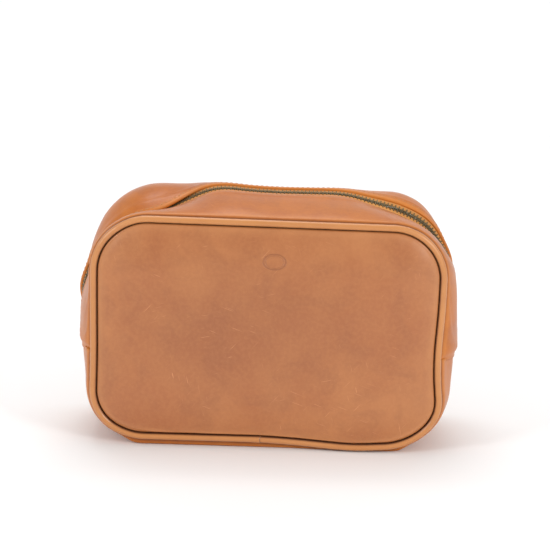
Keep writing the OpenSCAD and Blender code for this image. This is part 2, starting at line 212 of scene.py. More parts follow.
class Form:
    """The seam outline and the soft shape hung on it."""

    def __init__(self):
        s = sizes()
        self.r = s.corner / MM
        self.half_w = s.width / MM / 2
        self.low = s.foot / MM
        self.high = self.low + s.height / MM
        self.seam = s.seam / MM
        self.pipe = s.piping / MM
        self.t = s.leather / MM
        self.zip_half = s.zip_half / MM
        self.zip_end = s.zip_end / MM
        x, z0, z1 = self.half_w - self.r, self.low + self.r, self.high - self.r
        q = self.r * math.pi / 2
        runs = [0, x, q, z1 - z0, q, 2 * x, q, z1 - z0, q, x]
        self.marks = np.cumsum(runs)
        self.round = self.marks[-1]
        self.cx = [0, x, x, x, x, -x, -x, -x, -x, 0]
        self.cz = [z0, z0, z0, z1, z1, z1, z1, z0, z0, z0]
        h = math.pi / 2
        self.turn = [-h, -h, 0, 0, h, h, 2 * h, 2 * h, 3 * h, 3 * h]
        self.x, self.z0, self.z1 = x, z0, z1
        self.zip_from = self.marks[2] + self.zip_end - z0
        self.zip_to = self.marks[7] - (self.zip_end - z0)

    def place(self, s, y, out):
        """Points at s round the outline, at depth y, standing out from the outline."""
        s, y, out = np.broadcast_arrays(np.mod(s, self.round), y, out)
        turn = np.interp(s, self.marks, self.turn)
        x = np.interp(s, self.marks, self.cx) + (self.r + out) * np.cos(turn)
        z = np.interp(s, self.marks, self.cz) + (self.r + out) * np.sin(turn)
        return settle(np.stack([x, y, z], -1))

    def on_zip(self, s, across, above):
        """Depth and standout of a place in the zip's own frame: across to the rear, above the tape."""
        tilt = np.radians(along(ZIP_TILT, s))
        above = above - self.t - TAPE_SINK
        y = along(ZIP_SHIFT, s) + across * np.cos(tilt) - above * np.sin(tilt)
        return y, along(ZIP_LINE, s) + across * np.sin(tilt) + above * np.cos(tilt)

    def gusset(self, s, u, side, lapped=True):
        """Depth and standout of a gusset half; u runs from the seam, 0, to the edge at the zip, 1."""
        lap = along(REAR_LAP, s) if side > 0 and lapped else 0.0
        lift = along(REAR_LIFT, s) if side > 0 and lapped else 0.0
        edge_y, edge_out = self.on_zip(s, side * (self.zip_half - lap), self.t + TAPE_SINK + lift)
        belly = along(FRONT_FULLNESS if side < 0 else REAR_FULLNESS, s)
        seam_y = side * (self.seam - self.pipe - SEAM_GAP)
        shoulder = SHOULDER * (1 - np.exp(-u / 0.035))
        out = shoulder + (edge_out - SHOULDER) * u ** 1.15 + belly * 4 * u * (1 - u)
        return seam_y + (edge_y - seam_y) * u, out


def settle(p):
    """The bag leans and sags a little: nothing moves near the slider and the zip's ends."""
    p = np.array(p, float)
    x, y, z = p[..., 0].copy(), p[..., 1].copy(), p[..., 2].copy()
    front = smooth((-y - 4) / 34)
    upper = smooth((z - 60) / 70)
    lower = 1 - smooth((z - 2) / 46)
    inner = 1 - smooth((np.abs(x) - 92) / 22)
    reach = 1 - 0.75 * smooth((np.abs(x) - 75) / 28)
    lean = (0.8 - 0.009 * x) * upper * reach * np.maximum(front, inner)
    sag = 1.5 * smooth((40 - x) / 50) * smooth((x + 118) / 30) - 1.7 * np.exp(-((x - 58) / 24) ** 2)
    low = z + lean + sag * front * lower
    side = front * smooth((np.abs(x) - 60) / 50)
    dent = np.exp(-((z - 66) / 24) ** 2)
    swell = np.exp(-((z - 24) / 17) ** 2)
    p[..., 0] = x + side * np.sign(x) * np.where(x > 0, 1.7 * swell - 1.4 * dent, 0.4 * swell - 0.3 * dent)
    p[..., 1] = y - front * lower * 1.6 * np.exp(-((x - 62) / 26) ** 2)
    p[..., 2] = np.where(low > 4, low, 0.03 + 0.3 * np.log1p(np.exp(np.minimum(low - 0.03, 4.0) / 0.3)))
    return p


# ------------------------------------------------------------------ meshes
def piece(name, points, faces, attributes=None):
    """A mesh object from points in millimetres, with its faces turned outwards."""
    data = bpy.data.meshes.new(name)
    data.from_pydata((np.asarray(points, float) * MM).tolist(), [], faces)
    for key, values in (attributes or {}).items():
        values = np.asarray(values, np.float32)
        kind = "FLOAT" if values.ndim == 1 else "FLOAT_VECTOR"
        slot = data.attributes.new(key, kind, "POINT")
        slot.data.foreach_set("value" if kind == "FLOAT" else "vector", values.ravel())
    shaped = bmesh.new()
    shaped.from_mesh(data)
    bmesh.ops.recalc_face_normals(shaped, faces=shaped.faces)
    shaped.to_mesh(data)
    shaped.free()
    data.polygons.foreach_set("use_smooth", [True] * len(data.polygons))
    obj = bpy.data.objects.new(name, data)
    bpy.context.collection.objects.link(obj)
    return obj


def surface_normals(grid):
    ds = np.gradient(grid, axis=0)
    dt = np.gradient(grid, axis=1)
    n = np.cross(ds, dt)
    return n / np.maximum(np.linalg.norm(n, axis=-1, keepdims=True), 1e-9)


def band(name, grid, thick, inward, notes=None, caps=5):
    """A strip of leather or cloth with rounded edges. grid is its face side, rows along the strip."""
    ns, nt = grid.shape[:2]
    thick = np.broadcast_to(thick, (ns, nt))[..., None]
    n = -surface_normals(grid) * inward
    back = grid + n * thick
    half = thick / 2
    phi = np.linspace(0, math.pi, caps + 2)[1:-1]
    far_way = grid[:, -1] - grid[:, -2]
    near_way = grid[:, 0] - grid[:, 1]
    far_way /= np.linalg.norm(far_way, axis=-1, keepdims=True)
    near_way /= np.linalg.norm(near_way, axis=-1, keepdims=True)
    far_mid, near_mid = grid[:, -1] + n[:, -1] * half[:, -1], grid[:, 0] + n[:, 0] * half[:, 0]
    rows = [grid[:, j] for j in range(nt)]
    rows += [far_mid + half[:, -1] * (far_way * math.sin(a) - n[:, -1] * math.cos(a)) for a in phi]
    rows += [back[:, j] for j in reversed(range(nt))]
    rows += [near_mid + half[:, 0] * (near_way * math.sin(a) + n[:, 0] * math.cos(a)) for a in phi]
    loop = np.stack(rows, 1)
    m = loop.shape[1]
    faces = [(i * m + j, (i + 1) * m + j, (i + 1) * m + (j + 1) % m, i * m + (j + 1) % m)
             for i in range(ns - 1) for j in range(m)]
    for i in (0, ns - 1):
        o = i * m
        faces += [(o + j, o + j + 1, o + 2 * nt + caps - 2 - j, o + 2 * nt + caps - 1 - j)
                  for j in range(nt - 1)]
        faces.append([o + nt - 1 + j for j in range(caps + 2)])
        faces.append([o + 2 * nt + caps - 1 + j for j in range(caps + 1)] + [o])
    attributes = {}
    for key, values in (notes or {}).items():
        deep = values if values.ndim == 3 else values[..., None]
        v = np.broadcast_to(deep, (ns, nt, deep.shape[-1]))
        cols = [v[:, j] for j in range(nt)] + [v[:, -1]] * caps
        cols += [v[:, j] for j in reversed(range(nt))] + [v[:, 0]] * caps
        flat = np.stack(cols, 1).reshape(ns * m, -1)
        attributes[key] = flat[:, 0] if values.ndim == 2 else flat
    return piece(name, loop.reshape(-1, 3), faces, attributes)


def relax(points, faces, pinned, push, slack, most, frames=20, stiff=8.0):
    """Lets a sewn sheet swell and sag with its seams held, by no more than the given millimetres."""
    data = bpy.data.meshes.new("sewn_sheet")
    data.from_pydata((np.asarray(points) * MM).tolist(), [], faces)
    sheet = bpy.data.objects.new("sewn_sheet", data)
    bpy.context.collection.objects.link(sheet)
    group = sheet.vertex_groups.new(name="seams")
    group.add([int(i) for i in np.flatnonzero(pinned)], 1.0, "REPLACE")
    cloth = sheet.modifiers.new("Cloth", "CLOTH").settings
    cloth.quality = 6
    cloth.mass = 0.6
    cloth.tension_stiffness = cloth.compression_stiffness = 30
    cloth.shear_stiffness = 15
    cloth.bending_stiffness = stiff
    cloth.air_damping = 4
    cloth.vertex_group_mass = "seams"
    cloth.use_pressure = True
    cloth.uniform_pressure_force = push
    cloth.shrink_min = -slack
    cloth.effector_weights.gravity = 0.5
    scene = bpy.context.scene
    for f in range(1, frames + 1):
        scene.frame_set(f)
    done = sheet.evaluated_get(bpy.context.evaluated_depsgraph_get()).data
    move = np.array([v.co for v in done.vertices]) / MM - points
    scene.frame_set(1)
    bpy.data.objects.remove(sheet)
    far = np.linalg.norm(move, axis=-1, keepdims=True)
    return points + move * most / (most + far)


def grid_faces(rows, columns):
    return [(i * columns + j, i * columns + j + 1, (i + 1) * columns + j + 1, (i + 1) * columns + j)
            for i in range(rows - 1) for j in range(columns - 1)]


def turned(objects, body=None):
    """Each piece goes with a body, or with none has its transform baked in."""
    for obj in objects:
        if body:
            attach(obj, body)
        else:
            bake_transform(obj)


# ------------------------------------------------------------------ shading
class Socket:
    """A shader socket that can be used in arithmetic."""

    def __init__(self, tree, socket):
        self.tree, self.socket = tree, socket

    def math(self, operation, *values):
        return self.tree.node("ShaderNodeMath", {"operation": operation}, dict(enumerate(values)))

    def __add__(self, other):
        return self.math("ADD", self, other)

    __radd__ = __add__

    def __sub__(self, other):
        return self.math("SUBTRACT", self, other)

    def __rsub__(self, other):
        return self.math("SUBTRACT", other, self)

    def __mul__(self, other):
        return self.math("MULTIPLY", self, other)

    __rmul__ = __mul__

    def __truediv__(self, other):
        return self.math("DIVIDE", self, other)

    def __rtruediv__(self, other):
        return self.math("DIVIDE", other, self)

    def __pow__(self, other):
        return self.math("POWER", self, other)

    def __rpow__(self, other):
        return self.math("POWER", other, self)

    def __abs__(self):
        return self.math("ABSOLUTE", self)

    def ramp(self, low, high):
        """0 below low, 1 above high, smooth between."""
        settings = {"interpolation_type": "SMOOTHSTEP", "clamp": True}
        inputs = {"Value": self, "From Min": low, "From Max": high}
        return self.tree.node("ShaderNodeMapRange", settings, inputs)


class Finish:
    """A material with one node method."""

    def __init__(self, name):
        self.material = bpy.data.materials.new(name)
        self.material.use_nodes = True
        self.tree = self.material.node_tree
        self.shader = next(n for n in self.tree.nodes if n.type == "BSDF_PRINCIPLED")

    def node(self, kind, settings=None, inputs=None, output=0):
        made = self.tree.nodes.new(kind)
        for key, value in (settings or {}).items():
            setattr(made, key, value)
        self.feed(made, inputs or {})
        return Socket(self, made.outputs[output])

    def feed(self, made, inputs):
        for key, value in inputs.items():
            if isinstance(value, Socket):
                self.tree.links.new(value.socket, made.inputs[key])
            else:
                made.inputs[key].default_value = value

    def note(self, name, output=2):
        return self.node("ShaderNodeAttribute", {"attribute_name": name}, output=output)

    def place(self):
        return self.node("ShaderNodeTexCoord", output=3)

    def noise(self, vector, scale, detail=3.0, rough=0.5, distort=0.0):
        return self.node("ShaderNodeTexNoise", {}, {"Vector": vector, "Scale": scale, "Detail": detail,
                                                    "Roughness": rough, "Distortion": distort})

    def mix(self, share, a, b):
        a, b = (tone if isinstance(tone, Socket) else (*tone, 1.0) for tone in (a, b))
        return self.node("ShaderNodeMix", {"data_type": "RGBA"}, {0: share, 6: a, 7: b}, 2)

    def bump(self, height, distance, strength=1.0, normal=None):
        inputs = {"Height": height, "Distance": distance, "Strength": strength}
        if normal:
            inputs["Normal"] = normal
        return self.node("ShaderNodeBump", {}, inputs)

    def finish(self, **inputs):
        self.feed(self.shader, {key.replace("_", " "): value for key, value in inputs.items()})
        return self.material


MADE = {}


def material(name):
    if name not in MADE:
        MADE[name] = FINISHES[name]()
    return MADE[name]


def leather_finish(name, base, pale, dark, scuffs=1.0, mark=False, shine=0.55):
    m = Finish(name)
    at = m.place()
    # Masks laid on the pieces: rubbed edges with a painted highlight, and painted shade in the seams.
    rubbed_and_sheen, groove = m.note("rubbed_and_sheen"), m.note("groove")
    clouds = m.noise(at, 16, 3, 0.55, 0.4).ramp(0.32, 0.70)
    oil = m.noise(at, 42, 4, 0.6, 0.6).ramp(0.40, 0.72)
    fibre = m.noise(at, 420, 3, 0.6)
    shade = m.mix(clouds * 0.36, base, pale)
    shade = m.mix(oil * 0.32, shade, dark)
    if mark:
        # Painted shade: each panel darkens towards its middle.
        shade = m.mix(m.note("middle_shade") * 0.30, shade, dark)
    shade = m.mix(fibre.ramp(0.35, 0.7) * 0.14, shade, pale)
    scratch = scratches(m, at) * scuffs
    shade = m.mix(scratch * 0.45, shade, [min(1, c * 1.3 + 0.08) for c in pale])
    # Rubbed edges and ridges turn pale, partly a painted highlight.
    shade = m.mix(rubbed_and_sheen * 0.65, shade, pale)
    # Painted shade: the bottoms of the seams turn dark brown.
    shade = m.mix(groove, shade, colours().edge)
    cell = m.node("ShaderNodeTexVoronoi", {"feature": "F1"}, {"Vector": at, "Scale": 1150, "Randomness": 1.0})
    grain = cell * 0.5 + m.noise(at, 900, 2, 0.6) * 0.5
    soft = m.bump(m.noise(at, 95, 3, 0.55), 0.00035, 0.5)
    if mark:
        pressed = stamp(m, at)
        shade = m.mix(pressed * 0.45, shade, dark)
        soft = m.bump(1 - pressed, 0.0003, 0.8, soft)
    height = m.bump(grain + scratch * 0.8, 0.00006, 0.55, soft)
    rough = 0.33 + clouds * 0.07 + fibre * 0.06 + scratch * 0.12 - oil * 0.03
    return m.finish(Base_Color=shade, Roughness=rough, Normal=height, Coat_Weight=shine * 0.5,
                    Coat_Roughness=0.24, Specular_IOR_Level=shine)


def scratches(m, at):
    """Fine, short, pale scratches lying in several directions, only here and there."""
    total = None
    laid_in = ((0.35, 0.011, 23), (1.35, 0.008, 31), (2.3, 0.014, 27), (2.9, 0.006, 40))
    for k, (turn, long, where) in enumerate(laid_in):
        laid = m.node("ShaderNodeMapping", {"vector_type": "TEXTURE"},
                      {"Vector": at, "Rotation": (0.0, turn, 0.0), "Scale": (long, 0.02, 0.00045),
                       "Location": (0.83 + 0.11 * k, 0.0, 0.61 + 0.07 * k)})
        line = m.noise(laid, 1.0, 0.0).ramp(0.79, 0.88)
        one = line * m.noise(at, where, 1, 0.5).ramp(0.52, 0.66)
        total = one if total is None else total + one
    return total


def stamp(m, at):
    """A small plain double oval, pressed into the front panel below the top seam."""
    x, y, z = (m.node("ShaderNodeSeparateXYZ", inputs={0: at}, output=k) for k in range(3))
    across, up = (x - 0.0035) / 0.0072, (z - 0.1275) / 0.0050
    ring = (across * across + up * up) ** 0.5
    line = 1 - abs(ring - 1.0).ramp(0.04, 0.10)
    inner = 1 - abs(ring - 0.8).ramp(0.02, 0.06)
    frontal = 1 - y.ramp(-0.03, -0.02)
    return (line + inner * 0.6) * frontal


def tan_leather():
    c = colours()
    return leather_finish("tan_leather", c.leather, c.leather_pale, c.leather_dark, 1.0, True)


def gusset_leather():
    c = colours()
    base, pale, dark = ([a * k for a, k in zip(tone, (1.10, 0.92, 0.42))]
                        for tone in (c.leather, c.leather_pale, c.leather_dark))
    return leather_finish("gusset_leather", base, pale, dark, 0.5, shine=0.35)


def piping_leather():
    c = colours()
    return leather_finish("piping_leather", c.piping, c.leather_pale, c.leather, 0.3)


def antique_brass():
    m = Finish("antique_brass")
    at = m.place()
    brass = colours().brass
    tarnish = m.noise(at, 700, 3, 0.6).ramp(0.35, 0.65)
    shade = m.mix(tarnish * 0.65, [min(1, c * 1.5) for c in brass], [c * 0.35 for c in brass])
    return m.finish(Base_Color=shade, Metallic=0.9, Roughness=0.32 + tarnish * 0.22,
                    Normal=m.bump(m.noise(at, 2200, 2, 0.5), 0.00002, 0.4))


def woven(name, tone, threads, deep=0.00012):
    m = Finish(name)
    cut = m.note("cut", 1)
    weft = m.node("ShaderNodeTexWave", {"wave_type": "BANDS", "bands_direction": "X"},
                  {"Vector": cut, "Scale": threads, "Distortion": 0.6, "Detail": 1.0})
    warp = m.node("ShaderNodeTexWave", {"wave_type": "BANDS", "bands_direction": "Y"},
                  {"Vector": cut, "Scale": threads, "Distortion": 0.6, "Detail": 1.0})
    weave = weft * 0.5 + warp * 0.5
    fuzz = m.noise(m.place(), 900, 3, 0.6)
    shade = m.mix(weave * 0.55 + fuzz * 0.25, [c * 0.62 for c in tone], [min(1, c * 1.25) for c in tone])
    return m.finish(Base_Color=shade, Roughness=0.82 + fuzz * 0.1,
                    Normal=m.bump(weave + fuzz * 0.3, deep, 0.7))


def tape_cloth():
    return woven("tape_cloth", colours().tape, 0.62)


def lining_cloth():
    return woven("lining_cloth", colours().lining, 0.5)


def cotton_cord():
    return woven("cotton_cord", (0.82, 0.78, 0.68), 0.5)


def thread_finish():
    m = Finish("waxed_thread")
    at = m.place()
    twist = m.node("ShaderNodeTexWave", {"wave_type": "BANDS", "bands_direction": "DIAGONAL"},
                   {"Vector": at, "Scale": 900.0, "Distortion": 1.0})
    tone = colours().thread
    shade = m.mix(twist * 0.5, [c * 0.7 for c in tone], [min(1, c * 1.2) for c in tone])
    return m.finish(Base_Color=shade, Roughness=0.6 + twist * 0.1, Normal=m.bump(twist, 0.00008, 0.6))


FINISHES = {
    "tan_leather": tan_leather, "gusset_leather": gusset_leather, "piping_leather": piping_leather,
    "brass": antique_brass, "tape_cloth": tape_cloth, "lining_cloth": lining_cloth,
    "cotton_cord": cotton_cord, "thread": thread_finish,
}


def dressed(obj, finish, slot, *nodes):
    """Gives a piece its material and hides the solids it stands for. The slot is not used."""
    obj.data.materials.clear()
    obj.data.materials.append(material(finish))
    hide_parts(*nodes)
    return obj


# ------------------------------------------------------------------ panels
def spaced(a, b, n):
    """Grid lines from -a to a with n cells in each end stretch, even between."""
    end, step = np.linspace(b, a, n + 1), (a - b) / n
    middle = np.linspace(-b, b, max(2, round(2 * b / step)) + 1)
    return np.concatenate([-end[::-1], middle[1:-1], end])


def panel_sheet(form, rim, rings, cells=11):
    """Points (x, z), distance in from the outline, faces and the rim order of a rounded panel."""
    r = form.r - rim
    a, b = form.x + r, (form.z1 - form.z0) / 2 + r
    gx, gz = spaced(a, form.x, cells), spaced(b, b - r, cells)
    x, z = np.meshgrid(gx, gz)
    kx, kz = np.clip((np.abs(x) - form.x) / r, 0, 1), np.clip((np.abs(z) - (b - r)) / r, 0, 1)
    both = (kx > 0) & (kz > 0)
    rx, rz = kx * np.sqrt(1 - kz * kz / 2), kz * np.sqrt(1 - kx * kx / 2)
    x = np.where(both, np.sign(x) * (form.x + r * rx), x)
    z = np.where(both, np.sign(z) * (b - r + r * rz), z)
    rows, columns = x.shape
    index = np.arange(rows * columns).reshape(rows, columns)
    rim_order = np.concatenate([index[0, :-1], index[:-1, -1], index[-1, :0:-1], index[:0:-1, 0]])
    mid_z = (form.z0 + form.z1) / 2
    points = np.stack([x.ravel(), z.ravel() + mid_z], -1)
    faces = grid_faces(rows, columns)
    edge = points[rim_order]
    centre = np.stack([np.clip(edge[:, 0], -form.x, form.x), np.clip(edge[:, 1], form.z0, form.z1)], -1)
    way = (edge - centre) / np.linalg.norm(edge - centre, axis=-1, keepdims=True)
    last, n = rim_order, len(rim_order)
    for inset in rings:
        new = np.arange(n) + len(points)
        points = np.concatenate([points, centre + way * (form.r - inset)])
        faces += [(last[i], new[i], new[(i + 1) % n], last[(i + 1) % n]) for i in range(n)]
        last = new
    near = np.stack([np.clip(points[:, 0], -form.x, form.x), np.clip(points[:, 1], form.z0, form.z1)], -1)
    depth = form.r - np.linalg.norm(points - near, axis=-1)
    inside = np.minimum(form.half_w - np.abs(points[:, 0]),
                        (form.high - form.low) / 2 - np.abs(points[:, 1] - mid_z))
    depth = np.where(depth > form.r - 1e-6, inside, depth)
    return points, np.minimum(depth, inside), faces, last


def thicken(name, points, faces, rim, thick, notes):
    """A closed sheet from its face side: the back lies thick mm along the faces' own normals."""
    data = bpy.data.meshes.new("face_side")
    data.from_pydata(points.tolist(), [], faces)
    normals = np.array([v.vector for v in data.vertex_normals])
    bpy.data.meshes.remove(data)
    count, n = len(points), len(rim)
    back = [tuple(count + i for i in reversed(f)) for f in faces]
    wall = [(rim[i], count + rim[i], count + rim[(i + 1) % n], rim[(i + 1) % n]) for i in range(n)]
    both = np.concatenate([points, points - normals * thick])
    return piece(name, both, [*faces, *back, *wall], {k: np.concatenate([v, v]) for k, v in notes.items()})


def panel_profile(inset):
    """How far the panel stands out from the seam's plane at a distance in from the outline."""
    edge = np.clip(inset - PANEL_EDGE, 0, None)
    lip = 1.5 * np.sqrt(np.clip(1 - (1 - np.clip(edge / 1.2, 0, 1)) ** 2, 0, 1))
    return -1.1 + lip + 1.7 * (1 - np.exp(-edge / 3.4)) + 3.6 * (1 - np.exp(-edge / 13.0))


def leather_panel(form, side, name, node):
    rings = (8.2, 7.5, 6.9, 6.4, 6.0, 5.7, 5.45, 5.22, 5.04, 4.88, 4.75, 4.66, PANEL_EDGE)
    flat, inset, faces, rim = panel_sheet(form, 9.0, rings)
    mid_z = (form.low + form.high) / 2
    fx = np.clip(np.abs(flat[:, 0]) / (form.half_w - 5), 0, 1)
    fz = np.clip(np.abs(flat[:, 1] - mid_z) / ((form.high - form.low) / 2 - 5), 0, 1)
    loose = 1 - np.exp(-np.clip(inset - PANEL_EDGE, 0, None) / 9)
    crown = sizes().crown / MM * (1 - fx ** 2.6) * (1 - fz ** 2.4) * loose
    out = panel_profile(inset) + crown
    points = np.stack([flat[:, 0], side * (form.seam + out), flat[:, 1]], -1)
    seed = 3 if side < 0 else 11
    points[:, 1] += side * loose * (0.7 * ripple(points, 60, seed) + 0.3 * ripple(points, 26, seed + 1))
    points = settle(points)
    if side > 0:
        faces = [tuple(reversed(f)) for f in faces]
    points = relax(points, faces, inset < 5.9, 1.6, 0.003, 1.2)
    # Painted shade: the panel's face darkens right beside the piping.
    groove = np.clip(1 - (inset - PANEL_EDGE) / 0.6, 0, 1) ** 1.3
    # A pale band on the rolled edge: rubbing, and a painted highlight on the roll.
    rubbed_and_sheen = 0.45 * np.exp(-((inset - 7.0) / 2.0) ** 2)
    # Painted shade: the panel darkens towards its middle.
    middle = np.clip(1 - ((flat[:, 0] + 15) / 95) ** 2 - ((flat[:, 1] - mid_z - 4) / 52) ** 2, 0, 1)
    obj = thicken(name, points, faces, list(rim), form.t, {"groove": groove, "rubbed_and_sheen": rubbed_and_sheen, "middle_shade": middle})
    return dressed(obj, "tan_leather", "tan_leather", node)


class WASHBAG_OT_panels(bpy.types.Operator):
    """Build the front and back leather panels"""

    bl_idname = "washbag.panels"
    bl_label = "Leather panels"

    def execute(self, context):
        form = Form()
        turned([leather_panel(form, -1, "front_leather_panel", "front_panel")])
        turned([leather_panel(form, 1, "back_leather_panel", "back_panel")], REAR)
        return {"FINISHED"}


# ------------------------------------------------------------------ piping
def ring_tube(form, s, y, out, radius, sides=20, shear=0.0):
    """Rings of points round a path that follows the outline."""
    phi = np.linspace(0, 2 * math.pi, sides, endpoint=False)
    cut = shear * np.sin(phi)[None] * np.exp(-np.minimum(s - s[0], s[-1] - s) / 2.0)[:, None]
    radius = np.broadcast_to(radius, s.shape)[:, None]
    return form.place(s[:, None] + cut, y + radius * np.sin(phi), out + radius * np.cos(phi)), phi


def tube_piece(name, rings, notes):
    ns, m = rings.shape[:2]
    faces = [(i * m + j, (i + 1) * m + j, (i + 1) * m + (j + 1) % m, i * m + (j + 1) % m)
             for i in range(ns - 1) for j in range(m)]
    faces += [list(range(m)), [(ns - 1) * m + j for j in range(m)]]
    return piece(name, rings.reshape(-1, 3), faces, notes)


def piping(form, side, name, node):
    join = form.round - 4.0
    s = np.linspace(join, join + form.round + 2.4, 560)
    over = np.exp(-(s[-1] - s) / 5.0) * 0.34 - np.exp(-(s - s[0]) / 3.0) * 0.22
    wave = 0.05 * np.sin(s * 0.9) * np.cos(s * 0.23)
    rings, phi = ring_tube(form, s, side * form.seam, -form.pipe, form.pipe + 0.02 + over + wave, 24, 1.2)
    facing, away = side * np.sin(phi), np.cos(phi)
    # Painted shade on the piping's sides towards the panel and into the bag, and at its overlapping end.
    inner = np.clip((-away - 0.60) / 0.3, 0, 1) * (facing > -0.2)
    back = 0.55 * np.clip((-facing - 0.84) / 0.14, 0, 1)
    groove = np.broadcast_to(np.maximum(inner, back), rings.shape[:2]).copy()
    groove[-1] = 0.6
    # Paler on the outer, exposed side: rubbing, and a painted highlight.
    rubbed_and_sheen = np.broadcast_to(0.5 * np.clip(away * 0.6 + facing * 0.8, 0, 1) ** 2, groove.shape)
    tube = tube_piece(name, rings, {"groove": groove.ravel(), "rubbed_and_sheen": rubbed_and_sheen.ravel()})
    return dressed(tube, "piping_leather", "piping_leather", node)


class WASHBAG_OT_piping(bpy.types.Operator):
    """Build the piping round both seams, and the cord inside it"""

    bl_idname = "washbag.piping"
    bl_label = "Piping"

    def execute(self, context):
        form = Form()
        for side, label in ((-1, "front"), (1, "back")):
            skin = piping(form, side, f"{label}_leather_piping", f"{label}_piping")
            s = np.linspace(0, form.round - 0.2, 240)
            rings, _ = ring_tube(form, s, side * form.seam, -form.pipe, 1.4, 10)
            cut = np.stack(np.broadcast_arrays(s[:, None], np.arange(10.0), 0.0), -1)
            cord = tube_piece(f"{label}_cord", rings, {"cut": cut.reshape(-1, 3)})
            dressed(cord, "cotton_cord", "cotton_cord", f"{label}_piping_cord")
            turned([skin, cord], REAR if side > 0 else None)
        return {"FINISHED"}


# ------------------------------------------------------------------ gusset
def zip_stations(form, step, spare=0.0):
    count = round((form.zip_to - form.zip_from) / step)
    return np.linspace(form.zip_from - spare, form.zip_to + spare, count)


def tuck(form, s):
    """Near its ends the strip slips in under the bottom gusset's folded edge."""
    end = np.minimum(s - form.zip_from, form.zip_to - s)
    return 1.7 * (1 - smooth((end + 0.5) / 4.0))


def gusset_half(form, side, name, node):
    s = zip_stations(form, 1.5, 2.5)[:, None]
    u = np.concatenate([[0, 0.012, 0.03, 0.055, 0.085], np.linspace(0.12, 0.86, 20),
                        [0.89, 0.92, 0.945, 0.965, 0.985, 1]])[None]
    y, out = form.gusset(s, u, side)
    turn_in = tuck(form, s)
    lip_y = side * (form.seam - form.pipe + np.array([-0.2, 0.02, -0.1]))[None]
    lip_out = np.array(LIP_OUT)[None] - turn_in * 0.5
    grid = form.place(s, np.concatenate([lip_y + 0 * s, y], 1), np.concatenate([lip_out, out - turn_in], 1))
    seed = 21 if side < 0 else 31
    v = np.concatenate([[0, 0, 0], u[0]])[None]
    loose = np.sin(math.pi * np.clip(v, 0, 1)) ** 0.8
    ends = smooth(np.minimum(s - form.zip_from, form.zip_to - s) / 18)
    crumple = 0.8 * ripple(grid, 38, seed) + 0.3 * ripple(grid, 17, seed + 1)
    grid = grid - side * surface_normals(grid) * (loose * ends * crumple)[..., None]
    rows, columns = grid.shape[:2]
    held = np.broadcast_to((v < 0.05) | (v > 0.84), (rows, columns)).copy()
    held[:6] = held[-6:] = True
    faces = grid_faces(rows, columns)
    if side > 0:
        faces = [tuple(reversed(f)) for f in faces]
    grid = relax(grid.reshape(-1, 3), faces, held.ravel(), 1.6, 0.004, 0.7).reshape(grid.shape)
    fold = smooth((v - 0.80) / 0.12)
    pucker = 0.05 * np.sin(2 * math.pi * s / (sizes().stitch_pitch / MM)) * np.exp(-((v - 0.91) / 0.02) ** 2)
    grid = grid - side * surface_normals(grid) * pucker[..., None]
    SHEETS[name] = grid
    thick = form.t + EDGE_FOLD * fold + 0 * s
    # Painted shade where the gusset turns into the seam.
    groove = np.broadcast_to(np.clip(1 - v / 0.016, 0, 1) * 0.6, (rows, columns))
    # Paler on the ridge beside the piping and at the folded zip edge: rubbing, and a painted highlight.
    rubbed_and_sheen = 0.55 * np.exp(-((v - 0.05) / 0.03) ** 2) + 0.75 * smooth((v - 0.93) / 0.05) + 0 * s
    obj = band(name, grid, thick, side, {"groove": groove, "rubbed_and_sheen": rubbed_and_sheen})
    return dressed(obj, "gusset_leather", "tan_leather", node)


class WASHBAG_OT_zip_gusset(bpy.types.Operator):
    """Build the two arched gusset halves beside the zip"""

    bl_idname = "washbag.zip_gusset"
    bl_label = "Zip gusset"

    def execute(self, context):
        form = Form()
        turned([gusset_half(form, -1, "front_gusset_leather", "front_zip_gusset")])
        turned([gusset_half(form, 1, "rear_gusset_leather", "rear_zip_gusset")], REAR)
        return {"FINISHED"}


def bottom_strip(form, s, y, drop=0.0):
    """The arch of the bottom gusset, pressed flat where the bag stands."""
    seam_y = form.seam - form.pipe - SEAM_GAP
    u = np.clip(1 - np.abs(y) / seam_y, 0, 1)
    arch = 2.0 * (1 - np.exp(-u / 0.03)) + (along(BASE_ARCH, s) - 0.5) * (1 - (1 - u) ** 2) - 0.35 * smooth(u)
    hip = 2.4 * smooth((s - 105) / 40) * np.exp(-((y + 19) / 10) ** 2)
    flat = smooth((96 - np.abs(s)) / 14)
    fold = 1.9 * np.exp(-((u - 0.06) / 0.045) ** 2) * flat
    press = 2.6 * (1 - np.exp(-u / 0.035)) * flat
    p = form.place(s, y + np.sign(y) * fold, arch + hip + press - drop)
    floor = drop + 0.25
    soft = 0.4
    above = p[..., 2] - floor
    rounded = soft * np.log1p(np.exp(np.minimum(above, 20) / soft))
    p[..., 2] = floor + np.where(above > 20, above, rounded)
    return p


